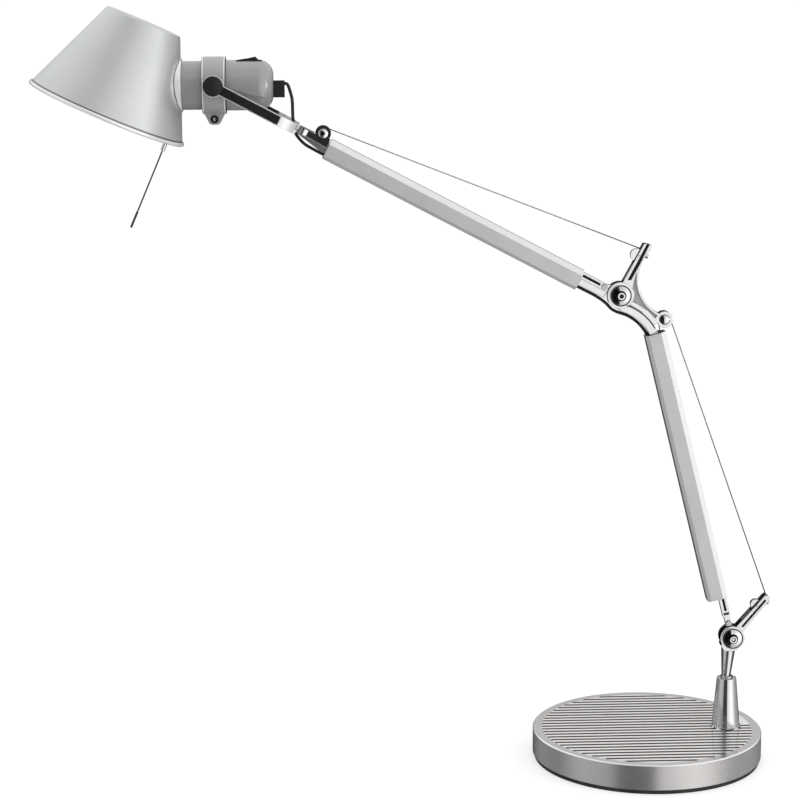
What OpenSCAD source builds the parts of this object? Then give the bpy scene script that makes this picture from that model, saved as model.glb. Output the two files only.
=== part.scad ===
// Swing arm desk lamp: round weighted base, two spring-balanced arms, side-entry cone shade.
// Millimetres, +Z up, origin at the middle of the base's underside, arms in the XZ plane.

/* [Base] */
// outer diameter of the round base
base_d = 200; // [170:1:240]
// height of the metal base above its foot pad
base_h = 22; // [16:0.5:30]
// thickness of the rubber foot pad
foot_h = 3.4; // [1:0.1:6]
// spacing of the parallel grooves on the top
groove_pitch = 7.25; // [5:0.05:12]
// radius of the rounded cutter that makes each groove
groove_r = 1.5; // [1:0.1:3]
// diameter of the grooved field
groove_field_d = 184; // [150:1:192]
// distance of the socket cone from the middle of the base
socket_x = 70.1; // [50:0.5:80]
// height of the socket cone above the base
socket_h = 44.5; // [30:0.5:70]

/* [Lower arm] */
// distance of the base pivot from the middle of the base
pivot0_x = 73.5; // [60:0.5:85]
// height of the base pivot
pivot0_z = 107; // [90:0.5:140]
// lean of the lower arm away from vertical
lower_lean = 13.9; // [0:0.1:40]
// length of the lower tube
lower_len = 241; // [180:1:320]

/* [Upper arm] */
// slope of the upper arm above horizontal
upper_slope = 27.9; // [0:0.1:60]
// length of the upper tube
upper_len = 240; // [180:1:320]
// side of the chamfered square arm tubes
tube_w = 18; // [14:0.5:24]
// wall of the arm tubes
tube_wall = 1.1; // [0.8:0.1:2]
// thickness of the steel cables
cable_d = 1.1; // [0.8:0.1:2]
// thickness of the black leads
lead_d = 2.7; // [2:0.1:5]

/* [Head] */
// outer diameter of the shade at its closed top
shade_top_d = 64.4; // [50:0.2:90]
// outer diameter of the shade at its rim
shade_rim_d = 134.6; // [110:1:170]
// height of the shade along its own axis
shade_h = 81.4; // [60:0.5:120]
// tilt of the shade's axis away from vertical
shade_tilt = 23.5; // [0:0.5:40]
// outer diameter of the housing behind the clamp
housing_d = 41.6; // [36:0.2:50]
// clear distance between the two arms of the fork
fork_gap = 51; // [46:0.5:60]

/* [Hidden] */
$fn = 64;
e = 0.01;
base_top = foot_h + base_h;
base_r = base_d / 2;
spigot_r = 5;
spigot_fit = 0.05;
cheek_y = 6.4;
eye_y = 3;
slot_y = 3.3;
tube_off = 4.6;
// the pivots in the XZ plane
elbow_x = -26;
elbow_z = 318;
tube0 = 37.7;
tube1 = tube0 + lower_len;
p1x = pivot0_x + elbow_x * cos(lower_lean) - elbow_z * sin(lower_lean);
p1z = pivot0_z + elbow_x * sin(lower_lean) + elbow_z * cos(lower_lean);
utube0 = 37.2;
utube1 = utube0 + upper_len;
fork_z = -1.2;
tilt_x = utube1 + 106.8;
p2x = p1x - tilt_x * cos(upper_slope) + fork_z * sin(upper_slope);
p2z = p1z + tilt_x * sin(upper_slope) + fork_z * cos(upper_slope);
inner = tube_w / 2 - tube_wall;
// colours
steel = [0.62, 0.61, 0.60];
chrome = [0.80, 0.80, 0.82];
silver = [0.72, 0.73, 0.74];
grey = [0.55, 0.55, 0.56];
black = [0.05, 0.05, 0.055];
white = [0.93, 0.92, 0.88];

/* ---------- frames ---------- */
module lower_frame() translate([pivot0_x, 0, pivot0_z]) rotate([0, -lower_lean, 0]) children();
module elbow_frame() translate([p1x, 0, p1z]) children();
module upper_frame() translate([p1x, 0, p1z]) rotate([0, upper_slope, 0]) mirror([1, 0, 0]) children();
module head_frame() translate([p2x, 0, p2z]) children();
module lever0_frame() translate([pivot0_x, 0, pivot0_z]) rotate([0, -50, 0]) children();
module lever1_frame() translate([p1x, 0, p1z]) rotate([0, -61.5, 0]) children();
// shade frame: origin at the rim's centre, z along the shade's axis
module shade_frame() translate([p2x - 89.24, 0, p2z - 22.07]) rotate([0, shade_tilt, 0]) children();

/* ---------- helpers ---------- */
// a flat outline given in x and z, thickened about y = 0
module plate(t) rotate([90, 0, 0]) linear_extrude(height = t, center = true) children();
// a disc whose axis is y, between two y values
module ydisc(r, y0, y1) translate([0, y1, 0]) rotate([90, 0, 0]) cylinder(r = r, h = y1 - y0);
module xdisc(r, x0, x1) translate([x0, 0, 0]) rotate([0, 90, 0]) cylinder(r = r, h = x1 - x0);
// a block given by its low and high corners
module block(a, b) translate(a) cube([b[0] - a[0], b[1] - a[1], b[2] - a[2]]);

// a round tube swept along points, by rings of n corners
function unit(v) = v / norm(v);
function tangent(p, i) = unit(p[min(i + 1, len(p) - 1)] - p[max(i - 1, 0)]);
function ring(c, t, r, n) = let (u = unit(cross([0, 1, 0], t)), w = cross(t, u))
  [for (k = [0 : n - 1]) c + r * (cos(360 * k / n) * u + sin(360 * k / n) * w)];
module sweep(p, r, n = 8) {
  m = len(p);
  pts = [for (i = [0 : m - 1]) each ring(p[i], tangent(p, i), r, n)];
  sides = [for (i = [0 : m - 2]) for (k = [0 : n - 1])
    [i * n + k, i * n + (k + 1) % n, (i + 1) * n + (k + 1) % n, (i + 1) * n + k]];
  caps = [[for (k = [n - 1 : -1 : 0]) k], [for (k = [0 : n - 1]) (m - 1) * n + k]];
  polyhedron(points = pts, faces = concat(sides, caps), convexity = 6);
}
// points of an arc in the XZ plane
function arc(cx, cz, r, a0, a1, n) = [for (i = [0 : n]) let (a = a0 + (a1 - a0) * i / n)
  [cx + r * cos(a), 0, cz + r * sin(a)]];
// a smooth curve through hand-chosen points
function spline(p, n) = [for (i = [0 : len(p) - 2]) for (k = [0 : n - 1])
  let (a = p[max(i - 1, 0)], b = p[i], c = p[i + 1], d = p[min(i + 2, len(p) - 1)], t = k / n)
  0.5 * ((2 * b) + (c - a) * t + (2 * a - 5 * b + 4 * c - d) * t * t + (3 * b - a - 3 * c + d) * t * t * t)];
function curve(p, n) = concat(spline(p, n), [p[len(p) - 1]]);
// a coil spring along x
module coil(x0, x1, turns, r, w) {
  n = turns * 10;
  sweep_coil([for (i = [0 : n]) let (a = 36 * i) [x0 + (x1 - x0) * i / n, r * cos(a), r * sin(a)]], w, 5);
}
module sweep_coil(p, r, n) {
  m = len(p);
  pts = [for (i = [0 : m - 1]) let (t = tangent(p, i), u = unit(cross([1, 0, 0], t)), w = cross(t, u))
    each [for (k = [0 : n - 1]) p[i] + r * (cos(360 * k / n) * u + sin(360 * k / n) * w)]];
  sides = [for (i = [0 : m - 2]) for (k = [0 : n - 1]) let (a = i * n + k, b = i * n + (k + 1) % n)
    each [[a, b, b + n], [a, b + n, a + n]]];
  caps = [for (k = [1 : n - 2]) each [[0, k + 1, k], [(m - 1) * n, (m - 1) * n + k, (m - 1) * n + k + 1]]];
  polyhedron(points = pts, faces = concat(sides, caps), convexity = 6);
}
// section of an arm tube: x is the cable side, chamfers larger there
module tube_section(w, big, small) polygon([
  [-w, -w + small], [-w + small, -w], [w - big, -w], [w, -w + big],
  [w, w - big], [w - big, w], [-w + small, w], [-w, w - small]]);
module arm_tube(len) difference() {
  linear_extrude(height = len) tube_section(tube_w / 2, 4.6, 2.6);
  translate([0, 0, -1]) linear_extrude(height = len + 2) tube_section(inner, 3.9, 2.1);
}
// domed friction disc: r outer radius, from y = 0 outward along -y
module dome(r, h) let (big = (r * r + h * h) / (2 * h)) intersection() {
  translate([0, 0, h - big]) sphere(r = big, $fn = 128);
  cylinder(r = r, h = h + 1);
}
module friction_disc(r) rotate([90, 0, 0]) difference() {
  union() {
    cylinder(r = r, h = 1.2);
    translate([0, 0, 1]) dome(r - 1.2, 1.9);
    cylinder(r = 3.6, h = 3);
  }
  difference() {
    translate([0, 0, 0.4]) cylinder(r = r - 0.6, h = 6);
    translate([0, 0, 0.3]) cylinder(r = r - 1.2, h = 8);
  }
  difference() {
    translate([0, 0, 1.9]) cylinder(r = 4.3, h = 6);
    translate([0, 0, 1]) cylinder(r = 3.6, h = 8);
  }
  translate([0, 0, -1]) cylinder(r = 2.1, h = 6);
}
module hex(r, h) cylinder(r = r, h = h, $fn = 6);

/* ---------- base ---------- */
module base_foot() color(black) cylinder(r = base_r - 1.5, h = foot_h, $fn = 128);
module base_weight() color(grey) difference() {
  translate([0, 0, foot_h]) cylinder(r = base_r - 2.6, h = base_h - 5.1, $fn = 128);
  translate([socket_x, 0, -1]) cylinder(r = 4.3, h = 60);
  translate([socket_x, 0, -1]) cylinder(r = 10, h = foot_h + 9);
}
module groove(i) {
  y = i * groove_pitch;
  half = sqrt(pow(groove_field_d / 2, 2) - y * y);
  right = y > 1 ? min(half, 83) : half;
  translate([-half, y, base_top + 0.5]) rotate([0, 90, 0]) cylinder(r = groove_r, h = half + right, $fn = 24);
}
module base_cover() color(steel) difference() {
  rotate_extrude($fn = 128) polygon([
    [0, base_top - 5], [base_r - 2.4, base_top - 5], [base_r - 2.4, foot_h], [base_r - 0.5, foot_h],
    [base_r, foot_h + 0.5], [base_r, base_top - 0.8], [base_r - 0.8, base_top], [0, base_top]]);
  for (i = [-12 : 12]) groove(i);
  translate([socket_x, 0, -1]) cylinder(r = 4.3, h = 60);
}
module socket_cone() color(chrome) translate([socket_x, 0, base_top]) difference() {
  union() {
    cylinder(r = 13.2, h = 1.6);
    translate([0, 0, 1.6]) cylinder(r1 = 12.2, r2 = 8.5, h = socket_h - 1.6);
  }
  translate([0, 0, -1]) cylinder(r = 4, h = 14);
  translate([0, 0, 10]) cylinder(r = 6.5, h = 60);
}
module socket_bush() color(white) translate([socket_x, 0, base_top]) difference() {
  translate([0, 0, 11]) cylinder(r = 6.5, h = socket_h - 11.3);
  translate([0, 0, 0]) cylinder(r = spigot_r + spigot_fit, h = 60);
}
module socket_bolt() color(grey) translate([socket_x, 0, 0]) {
  translate([0, 0, foot_h + 1.7]) hex(7.2, 5.3);
  translate([0, 0, foot_h + 2]) cylinder(r = 3.95, h = base_h + 7.5);
}
module socket_washer() color(grey) translate([socket_x, 0, foot_h + 7]) difference() {
  cylinder(r = 9.2, h = 1);
  translate([0, 0, -1]) cylinder(r = 4.2, h = 3);
}

/* ---------- stem: turns in the socket ---------- */
module stem() color(chrome) difference() {
  union() {
    translate([socket_x, 0, base_top + 12]) cylinder(r = spigot_r, h = socket_h - 10);
    translate([socket_x, 0, base_top + socket_h + 0.4]) cylinder(r = 5.6, h = 1.3);
    translate([socket_x - 0.6, 0, base_top + socket_h + 1]) rotate([0, 3.5, 0]) cylinder(r1 = 3.9, r2 = 6.3, h = 26);
    plate(2 * cheek_y) polygon([[66.5, 95.4], [75.5, 95.4], [80, 98.5], [82.3, 102], [80, 107], [66, 107], [63.6, 100]]);
    translate([pivot0_x, 0, pivot0_z]) ydisc(10.6, -cheek_y, cheek_y);
    lever0_frame() plate(2 * cheek_y - 2) polygon([
      [4, -4], [24, -3.2], [45, -2.9], [48, -1.6], [48, 2.2], [46, 2.9], [24, 3.4], [4, 4]]);
  }
  // the arm's eye turns between the two cheeks
  lower_frame() plate(2 * slot_y) {
    circle(r = 12.5);
    polygon([[0, 0], [-3.5, -3.6], [-19.3, 11.7], [-12.4, 18.9], [0, 22.5], [5.2, 22], [14.1, 17.6], [4.5, -2.2]]);
  }
  translate([pivot0_x, 0, pivot0_z]) ydisc(2.6, -10, 10);
  // a channel along each side of the lever, and a gap for the cable and its cam
  for (s = [0, 1]) mirror([0, s, 0]) lever0_frame() block([13, 3.4, -0.9], [44, 10, 0.9]);
  lever0_frame() block([28, -2.6, -1.5], [60, 2.6, 10]);
  lever0_frame() translate([35.5, 0, 2]) ydisc(0.85, -10, 10);
  lever0_frame() translate([43.6, 0, -6]) cylinder(r = 1.1, h = 4.4);
  // the cable's end sits in a notch in the lower rail
  lever0_frame() block([45.2, -0.7, -1.8], [60, 0.7, 1]);
}
module stem_bolt() color(chrome) translate([pivot0_x, 0, pivot0_z]) difference() {
  union() {
    ydisc(2.05, -9.5, 9.5);
    ydisc(3.6, -11.6, -9.5);
  }
  translate([0, -10.6, 0]) rotate([90, 0, 0]) hex(1.7, 3);
}
module stem_disc_near() color(chrome) translate([pivot0_x, -cheek_y, pivot0_z]) friction_disc(9.5);
module stem_disc_far() color(chrome) translate([pivot0_x, cheek_y, pivot0_z]) mirror([0, 1, 0]) friction_disc(9.5);
module stem_nut() color(chrome) translate([pivot0_x, 12.4, pivot0_z]) rotate([90, 0, 0]) difference() {
  hex(4, 2.9);
  translate([0, 0, 0.6]) cylinder(r = 2.1, h = 4);
}
module stem_cam() color(chrome) lever0_frame() {
  difference() {
    translate([35.5, 0, 3.2]) ydisc(4.4, -2.3, 2.3);
    block([37.8, -0.8, -3], [42, 0.8, 12]);
  }
  translate([35.5, 0, 2]) ydisc(0.8, -6.2, 6.2);
}
module stem_screw() color(chrome) lever0_frame() {
  translate([43.6, 0, -5.7]) cylinder(r = 1.9, h = 2.4);
  translate([43.6, 0, -3.5]) cylinder(r = 1, h = 1.8);
}

/* ---------- lower arm ---------- */
module lower_tongue() color(chrome) lower_frame() difference() {
  union() {
    ydisc(8.6, -eye_y, eye_y);
    block([-2.6, -eye_y, 0], [2.6, eye_y, 24]);
    block([-3.5, -eye_y, 19.6], [3.3, eye_y, tube0 + 6]);
    block([-tube_off - inner + 0.2, -inner + 0.2, tube0 + 3], [3, inner - 0.2, tube0 + 16]);
  }
  ydisc(2.15, -10, 10);
  // a long channel and a short cross slot on both faces
  for (s = [0, 1]) mirror([0, s, 0]) {
    block([-1.1, 1, 24.6], [0.9, 10, tube0 - 1]);
    block([-2.5, 1, 21], [2.3, 10, 22.8]);
  }
  translate([0, 0, 13.2]) rotate([90, 0, 0]) rotate([0, 0, 30]) translate([0, 0, -10]) hex(2.65, 20);
  // corners of the plug follow the tube's chamfers
  for (s = [-1, 1]) translate([-tube_off, 0, 0]) {
    translate([inner, s * inner, 0]) rotate([0, 0, 45]) block([-3.0, -3.0, 30], [3.0, 3.0, 80]);
    translate([-inner, s * inner, 0]) rotate([0, 0, 45]) block([-1.8, -1.8, 30], [1.8, 1.8, 80]);
  }
}
module lower_screw() color(chrome) lower_frame() {
  translate([0, 0, 13.2]) rotate([90, 0, 0]) rotate([0, 0, 30]) translate([0, 0, -4.4]) hex(2.6, 8.8);
}
module lower_tube() color(silver) lower_frame() translate([-tube_off, 0, tube0]) arm_tube(lower_len);
module lower_spring() color(grey) lower_frame() translate([-tube_off, 0, 0]) rotate([0, -90, 0])
  coil(tube0 + 20, tube1 - 60, 22, 4.2, 0.8);

module leg_outline() difference() {
  translate([-10.45, -52.25]) circle(r = 47.2, $fn = 128);
  translate([-10.45, -52.25]) circle(r = 40.2, $fn = 128);
  polygon([[-80, -120], [-0.5, -120], [-0.5, -12.2], [-4, -11], [-10, -6], [-10, 80], [-80, 80]]);
  translate([-10.45, -52.25]) rotate([0, 0, 27]) translate([-100, -100]) square([200, 100]);
}
module k_outline() difference() {
  polygon([[-2, 5], [2.1, 11.8], [19.5, 43.8], [22.3, 43.6], [26, 42.3], [25, 39.5], [36, 14], [40, -14],
    [33, -24], [27, -27], [18, -14], [8, -8]]);
  translate([49.5, 14.3]) circle(r = 34.4, $fn = 128);
}
module elbow_bracket() color(chrome) difference() {
  union() {
    elbow_frame() ydisc(11.3, -cheek_y, cheek_y);
    elbow_frame() plate(11) k_outline();
    elbow_frame() plate(12.4) leg_outline();
    lower_frame() translate([5.7, 0, tube1 + 9.7]) ydisc(7, -5, 5);
    lower_frame() block([-9.4, -6, tube1 - 16], [-2.6, 6, tube1 + 1.2]);
  }
  // web pockets on both faces, inside the rails
  for (s = [-1, 1]) translate([0, s * 7, 0]) elbow_frame() plate(6) difference() {
    polygon([[11.2, 12.6], [15.6, 26.5], [30, 8], [32.5, -16], [29.6, -19.8], [23.5, -13.5], [14.5, -7.6],
      [8.2, -4.6]]);
    circle(r = 11.9);
    translate([49.5, 14.3]) circle(r = 36.4, $fn = 128);
    translate([-10.45, -52.25]) circle(r = 47.2, $fn = 128);
  }
  // channel behind the left rail, on both faces
  for (s = [-1, 1]) translate([0, s * 13.4, 0]) elbow_frame() plate(20) polygon([[5.6, 12.9], [8.8, 13.2], [16.4, 27.2], [24.6, 44.5], [22.4, 44.8]]);
  // a fine groove between the leg and the web, on both faces
  for (s = [-1, 1]) translate([0, s * 13.4, 0]) elbow_frame() plate(20) intersection() {
    translate([-10.45, -52.25]) difference() {
      circle(r = 47, $fn = 128);
      circle(r = 46.1, $fn = 128);
    }
    translate([-10.45, -52.25]) polygon([[0, 0], [50, 30], [60, 60], [17, 60]]);
  }
  // gap for the eye of the upper arm
  elbow_frame() difference() {
    ydisc(13, -slot_y, slot_y);
    block([4, -10, -30], [30, 10, -7]);
  }
  elbow_frame() ydisc(10, -slot_y, slot_y);
  elbow_frame() ydisc(2.6, -10, 10);
  // gap for the cable and its cam near the lever's tip
  lever1_frame() block([28, -2.6, -1.1], [60, 2.6, 12]);
  lever1_frame() block([42, -0.9, -5], [60, 0.9, 0]);
  lever1_frame() translate([36.4, 0, 2.5]) ydisc(0.85, -10, 10);
  lever1_frame() translate([39.4, 0, -7]) cylinder(r = 1.1, h = 5.4);
  // wheel slot and pin hole of the lower pulley
  lower_frame() translate([5.7, 0, tube1 + 9.7]) ydisc(8.2, -2.5, 2.5);
  lower_frame() translate([5.7, 0, tube1 + 9.7]) ydisc(2, -10, 10);
  for (s = [-1, 1]) lower_frame() translate([5.7, s * 10, tube1 + 9.7]) ydisc(5, -5, 5);
}
module elbow_bolt() color(chrome) elbow_frame() difference() {
  union() {
    ydisc(2.05, -9.5, 9.5);
    ydisc(3.7, -11.6, -9.5);
  }
  translate([0, -10.6, 0]) rotate([90, 0, 0]) hex(1.8, 3);
}
module elbow_disc_near() color(chrome) translate([p1x, -cheek_y, p1z]) friction_disc(9.5);
module elbow_disc_far() color(chrome) translate([p1x, cheek_y, p1z]) mirror([0, 1, 0]) friction_disc(9.5);
module elbow_nut() color(chrome) translate([p1x, 12.4, p1z]) rotate([90, 0, 0]) difference() {
  hex(4, 2.9);
  translate([0, 0, 0.6]) cylinder(r = 2.1, h = 4);
}
module elbow_cam() color(chrome) lever1_frame() {
  translate([36.4, 0, 4.4]) ydisc(5.2, -2.3, 2.3);
  translate([36.4, 0, 2.5]) ydisc(0.8, -5.5, 5.5);
}
module elbow_screw() color(chrome) lever1_frame() {
  translate([39.4, 0, -5.4]) cylinder(r = 1.9, h = 2.3);
  translate([39.4, 0, -3.2]) cylinder(r = 1, h = 1.5);
}
module pulley_at_origin() difference() {
  union() {
    ydisc(4.2, -2.2, 2.2);
    ydisc(6.2, -2.2, -0.8);
    ydisc(6.2, 0.8, 2.2);
  }
  ydisc(1.9, -10, 10);
}
module lower_pulley() color(black) lower_frame() translate([5.7, 0, tube1 + 9.7]) pulley_at_origin();
module lower_pin() color(chrome) lower_frame() translate([5.7, 0, tube1 + 9.7]) {
  ydisc(1.85, -5, 5);
  for (s = [0, 1]) mirror([0, s, 0]) {
    ydisc(4.4, -5.7, -5);
    translate([0, -5.7, 0]) rotate([90, 0, 0]) dome(4, 1.1);
  }
}
// the cable runs from the stem's lever over the pulley and down into the tube
lcab_s = [pivot0_x + 46.2 * cos(50) + 0.9 * sin(50), 0, pivot0_z + 46.2 * sin(50) - 0.9 * cos(50)];
lpx = pivot0_x + 5.7 * cos(lower_lean) - (tube1 + 9.7) * sin(lower_lean);
lpz = pivot0_z + 5.7 * sin(lower_lean) + (tube1 + 9.7) * cos(lower_lean);
wrap_r = 5.2;
lcab_a = 20.2;
ltube_in = [pivot0_x - 0.5 * cos(lower_lean) - (tube1 - 20) * sin(lower_lean), 0,
  pivot0_z - 0.5 * sin(lower_lean) + (tube1 - 20) * cos(lower_lean)];
module lower_cable() color(grey) sweep(concat([lcab_s],
  arc(lpx, lpz, wrap_r, lcab_a, 180 + lower_lean, 12), [ltube_in]), cable_d / 2, 8);

/* ---------- upper arm ---------- */
module upper_tongue() color(chrome) upper_frame() difference() {
  union() {
    ydisc(9.4, -eye_y, eye_y);
    plate(2 * eye_y) polygon([[0, -8.6], [utube0 + 14, -8.6], [utube0 + 14, 3], [14, 3], [0, 7]]);
    block([utube0 + 3, -5.6, -8.6], [utube0 + 16, 5.6, 1.5]);
  }
  ydisc(2.15, -10, 10);
  translate([15.4, 0, 0]) rotate([90, 0, 0]) translate([0, 0, -10]) hex(2.75, 20);
  for (s = [-1, 1]) translate([0, s * 11, 0])
    plate(20) polygon([[19.5, -1], [utube0 - 1, -1], [utube0 - 1, 1], [19.5, 1]]);
  for (s = [-1, 1]) translate([0, s * 5, 0]) plate(4.6) polygon([[12, -8], [36, -8], [36, -3], [12, -3]]);
}
module upper_screw() color(chrome) upper_frame()
  translate([15.4, 0, 0]) rotate([90, 0, 0]) translate([0, 0, -4.2]) hex(2.7, 8.4);
module upper_tube() color(silver) upper_frame() translate([utube0, 0, -tube_off])
  rotate([0, 90, 0]) rotate([0, 0, 180]) arm_tube(upper_len);
module upper_spring() color(grey) upper_frame() translate([0, 0, -tube_off + 0.6])
  coil(utube0 + 20, utube1 - 60, 22, 4.2, 0.8);
// end fitting: lower bar, upper rail and end wall around a window
module front_bracket() color(chrome) upper_frame() translate([utube1, 0, -tube_off]) difference() {
  plate(9) polygon([[-14, -4.2], [6, -4.2], [28.4, 0], [28.4, 7], [13, 7.4], [13, 6], [0.4, 5.4], [-14, 5.4]]);
  plate(20) polygon([[1, 0.6], [20.8, 1.4], [20.8, 0.7], [26.2, 0.7], [26.2, 6.1], [13.2, 6.1], [13, 8], [1, 8]]);
  translate([0, 0, 3.4]) xdisc(1.5, 20, 40);
  block([-20, -2.3, 0.6], [1.2, 2.3, 8]);
  translate([8.7, 0, 9.8]) ydisc(6.9, -10, 10);
}
module pulley_block() color(black) upper_frame() translate([utube1, 0, -tube_off]) difference() {
  union() {
    plate(8.6) polygon([[1.1, 0.7], [20.4, 1.5], [20.4, 6], [13, 6], [12.8, 8], [1.1, 8]]);
    translate([8.7, 0, 9.8]) ydisc(6.6, -4.3, 4.3);
  }
  translate([8.7, 0, 9.8]) ydisc(7.6, -2.5, 2.5);
  translate([8.7, 0, 9.8]) ydisc(2, -10, 10);
  block([-1, -2.5, 0], [10, 2.5, 12]);
}
module upper_pulley() color(black) upper_frame() translate([utube1 + 8.7, 0, 9.8 - tube_off]) pulley_at_origin();
module upper_pin() color(chrome) upper_frame() translate([utube1 + 8.7, 0, 9.8 - tube_off]) {
  ydisc(1.85, -4.3, 4.3);
  for (s = [0, 1]) mirror([0, s, 0]) {
    ydisc(4.7, -5.1, -4.3);
    translate([0, -5.1, 0]) rotate([90, 0, 0]) dome(4.3, 1.1);
  }
}
// in the upper arm's frame: over the front pulley and back into the tube
module upper_cable() color(grey) upper_frame() sweep(concat([[-1.9, 0, 43.2]],
  arc(utube1 + 8.7, 9.8 - tube_off, wrap_r, 83.4, -90, 12), [[utube1 - 20, 0, -0.4]]), cable_d / 2, 8);

/* ---------- black lead past the elbow ---------- */
// from inside the upper tube, under the elbow and into the lower tube, in the elbow's frame
lead_in = [for (x = [60, 44, 30, 18]) [-x * cos(upper_slope) - 10.3 * sin(upper_slope), 0,
  x * sin(upper_slope) - 10.3 * cos(upper_slope)]];
lead_out = [for (z = [-3, -26]) let (x = -10.95 - elbow_x, dz = tube1 - elbow_z + z)
  [x * cos(lower_lean) - dz * sin(lower_lean), 0, x * sin(lower_lean) + dz * cos(lower_lean)]];
module elbow_lead() color(black) elbow_frame() sweep(curve(concat(lead_in,
  [[-12.6, 0, -6.4], [-7.2, 0, -11.9]], arc(-10.45, -52.25, 38.4, 77, 31, 4), lead_out), 3),
  lead_d / 2, 10);

/* ---------- fork: turns about the upper arm's line ---------- */
fork_h = 8.8;
bow_x = tilt_x - 77.2;
module fork_frame() upper_frame() translate([0, 0, fork_z]) children();
module fork_side() difference() {
  union() {
    translate([bow_x + 17, fork_gap / 2 - 14]) circle(r = 17, $fn = 96);
    translate([bow_x, -1]) square([20, fork_gap / 2 - 13]);
    translate([bow_x + 17, -1]) square([tilt_x - bow_x - 17, fork_gap / 2 + 4]);
  }
  translate([bow_x + 17, fork_gap / 2 - 14.4]) circle(r = 14.4, $fn = 96);
  translate([bow_x + 2.6, -2]) square([16, fork_gap / 2 - 12.4]);
  translate([bow_x + 17, -2]) square([100, fork_gap / 2 + 2]);
  translate([0, -60]) square([600, 59]);
}
module fork_yoke() color(chrome) fork_frame() difference() {
  union() {
    translate([0, 0, -fork_h / 2]) linear_extrude(height = fork_h) union() {
      fork_side();
      mirror([0, 1]) fork_side();
    }
    for (s = [-1, 1]) translate([tilt_x, s * (fork_gap / 2 + 1.5), 0]) ydisc(9.2, -1.5, 1.5);
  }
  translate([tilt_x, 0, 0]) ydisc(3.05, -40, 40);
  xdisc(1.5, bow_x - 10, bow_x + 20);
  // notch that guides the lead past the bow
  block([bow_x - 1, 3.8, -10], [bow_x + 4, 7.6, 1.8]);
}
module fork_stud() color(chrome) fork_frame() {
  xdisc(1.45, bow_x - 6.2, bow_x + 3);
  xdisc(3.2, bow_x + 2.6, bow_x + 4.6);
  xdisc(3.2, bow_x - 1.1, bow_x);
}
module fork_nut() color(chrome) fork_frame() difference() {
  translate([bow_x - 5.9, 0, 0]) rotate([0, 90, 0]) hex(2.6, 2.2);
  xdisc(1.5, bow_x - 10, bow_x);
}
module inlay_outline() union() {
  translate([tilt_x, 0]) circle(r = 8.2);
  translate([tilt_x - 60.5, -3.5]) square([56, 7]);
}
module fork_inlay_near() color(black) fork_frame() translate([0, -fork_gap / 2 - 3.5, 0])
  plate(1) inlay_outline();
module fork_inlay_far() color(black) fork_frame() translate([0, fork_gap / 2 + 3.5, 0])
  plate(1) inlay_outline();

/* ---------- ring clamp: tilts between the arms of the fork ---------- */
module ring_clamp() color(silver) head_frame() difference() {
  union() {
    xdisc(23.6, -9.8, 9.8);
    plate(14) polygon([[-9.8, -15], [9.8, -15], [9.8, -20.5], [4.4, -31.2], [2.6, -32.2], [-2.6, -32.2], [-4.4, -31.2],
      [-9.8, -20.5]]);
    for (s = [-1, 1]) translate([0, s * 23.6, 0]) ydisc(5.5, -1.6, 1.6);
    ydisc(3, -fork_gap / 2 - 2.9, fork_gap / 2 + 2.9);
  }
  xdisc(20.15, -20, 20);
  block([-20, -1.2, -40], [20, 1.2, -10]);
  translate([0, 0, -27.6]) ydisc(1.8, -20, 20);
}
module clamp_screw() color(chrome) head_frame() translate([0, 0, -27.6]) difference() {
  union() {
    ydisc(1.75, -7, 9);
    ydisc(3.2, -8.8, -7);
  }
  block([-0.5, -9.5, -4], [0.5, -8, 4]);
}
module clamp_nut() color(chrome) head_frame() translate([0, 9.6, -27.6]) rotate([90, 0, 0]) difference() {
  hex(3.6, 2.5);
  translate([0, 0, 0.6]) cylinder(r = 1.8, h = 4);
}
module tilt_cap_near() color(black) head_frame() translate([0, -fork_gap / 2 - 4.3, 0]) rotate([90, 0, 0]) union() {
  cylinder(r = 8.1, h = 1);
  translate([0, 0, 1]) dome(8.1, 0.9);
}
module tilt_cap_far() color(black) head_frame() mirror([0, 1, 0]) translate([0, -fork_gap / 2 - 4.3, 0])
  rotate([90, 0, 0]) union() {
    cylinder(r = 8.1, h = 1);
    translate([0, 0, 1]) dome(8.1, 0.9);
  }

/* ---------- head: rolls in the ring clamp ---------- */
housing_r = housing_d / 2;
module housing() color(silver) head_frame() difference() {
  rotate([0, 90, 0]) rotate_extrude($fn = 96) difference() {
    union() {
      translate([0, -26.4]) square([20.05, 40]);
      translate([0, 10.3]) square([housing_r, 26.6]);
      translate([0, 10.3]) square([housing_r - 12, 38.6]);
      translate([housing_r - 12, 36.9]) circle(r = 12);
    }
    translate([-50, -60]) square([50, 200]);
    polygon([[-1, -30], [16.6, -30], [16.6, 38], [11, 46.4], [-1, 46.4]]);
  }
  // opening for the switch
  block([18.4, -6.6, 10], [39.6, 6.6, 30]);
  xdisc(3, 40, 60);
}
module side_collar() color(chrome) difference() {
  head_frame() xdisc(22.2, -42, -26.6);
  head_frame() xdisc(19.2, -50, 0);
  shade_frame() rotate_extrude($fn = 96) polygon([
    [0, -20], [shade_rim_d / 2 + 9.3, -20], [shade_top_d / 2 - 3.3, shade_h + 8.8], [0, shade_h + 8.8]]);
}
module lamp_holder() color(white) head_frame() difference() {
  union() {
    xdisc(18.6, -48, -27);
    xdisc(16.4, -27, 8);
    xdisc(19, -50.5, -48);
  }
  xdisc(14.2, -60, -8);
}
module bulb_cap() color(chrome) head_frame() difference() {
  union() {
    xdisc(13.2, -49, -26);
    xdisc(9, -26, -23);
    xdisc(4.5, -23, -21.5);
  }
  xdisc(12.4, -50, -27);
}
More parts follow.
